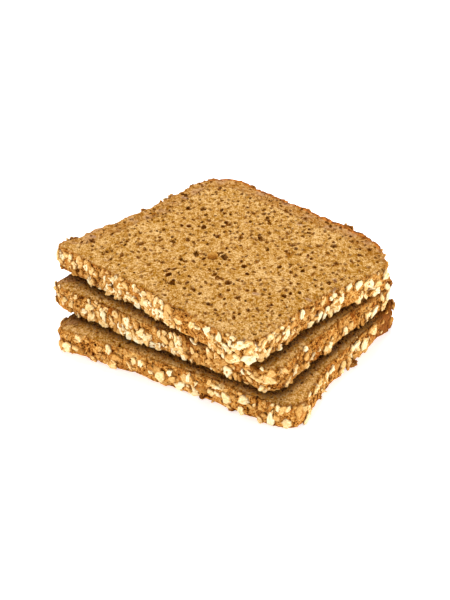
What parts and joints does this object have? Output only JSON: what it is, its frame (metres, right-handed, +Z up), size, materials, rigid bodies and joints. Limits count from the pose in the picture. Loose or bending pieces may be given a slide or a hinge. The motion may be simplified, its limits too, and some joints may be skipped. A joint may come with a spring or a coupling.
{
  "type": "sliced tin loaf",
  "caption": "Stack of cut slices of a wholegrain tin loaf: flat slabs with square base corners, drawn-in sides, a low domed top and an oat-flake crust.",
  "frame": {"origin": "under the middle of the stack's bounding box, on the surface that the lowest slice rests on", "axes": "+Z up, out of the cut faces; +Y from the loaf's base crust to its domed top and +X across the loaf, both measured on the middle slice, which is square to them"},
  "size_m": [0.118, 0.1066, 0.0321],
  "materials": {
    "crumb": "matte",
    "oat_flakes": "matte"
  },
  "bodies": {
    "root": {"slice_bottom": "crumb", "slice_middle": "crumb", "slice_top": "crumb"}
  },
  "joints": []
}
